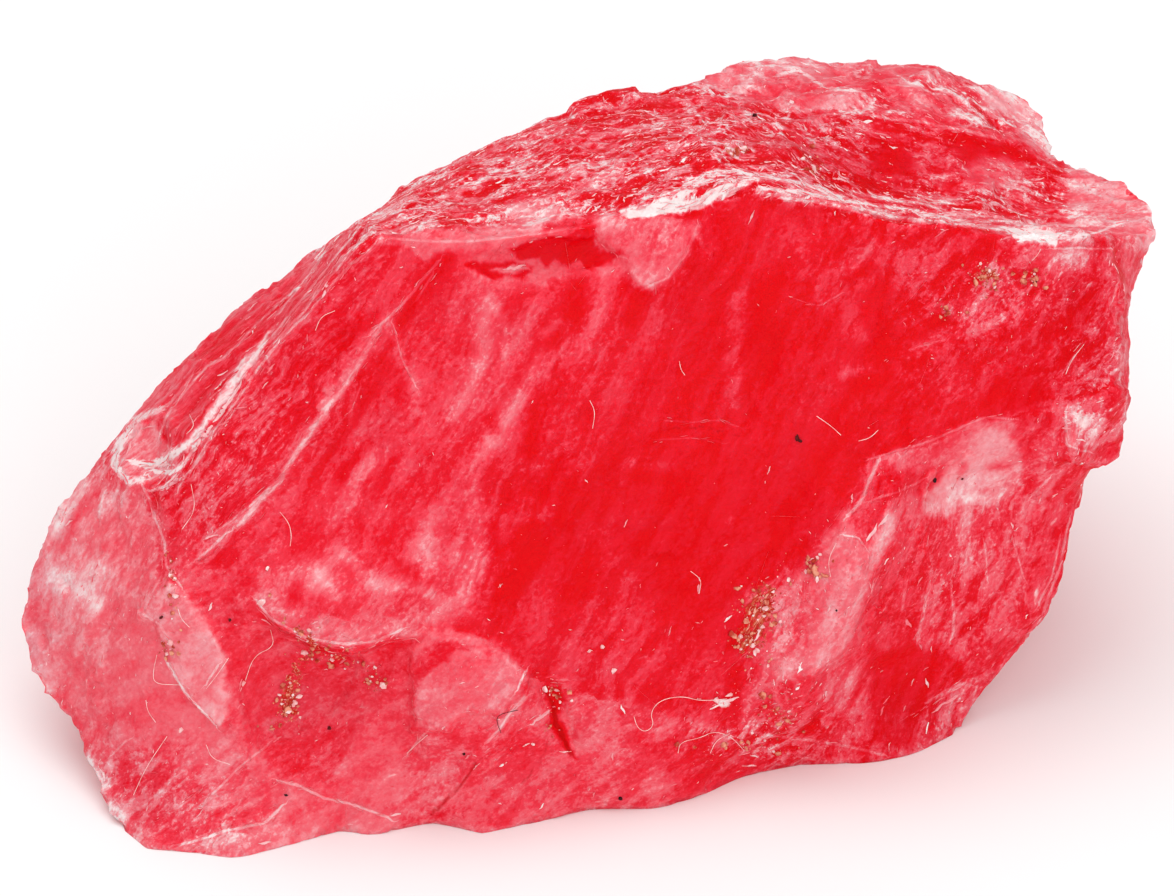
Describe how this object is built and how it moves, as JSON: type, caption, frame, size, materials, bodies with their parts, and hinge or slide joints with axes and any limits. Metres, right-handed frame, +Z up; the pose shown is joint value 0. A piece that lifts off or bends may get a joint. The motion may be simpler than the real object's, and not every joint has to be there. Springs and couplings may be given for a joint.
{
  "type": "rough watermelon quartz",
  "caption": "Rough broken lump of translucent red and pink quartz with a hackly top, a fluted left crest and a flat break it lies on.",
  "frame": {"origin": "middle of the bounding box, at the flat break the stone lies on", "axes": "+X along the stone's length, towards its notched end; +Y to the back, away from the big front break; +Z up"},
  "size_m": [0.0404, 0.0262, 0.0205],
  "materials": {
    "watermelon_quartz": "satin"
  },
  "bodies": {
    "root": {"quartz_stone": "watermelon_quartz"}
  },
  "joints": []
}
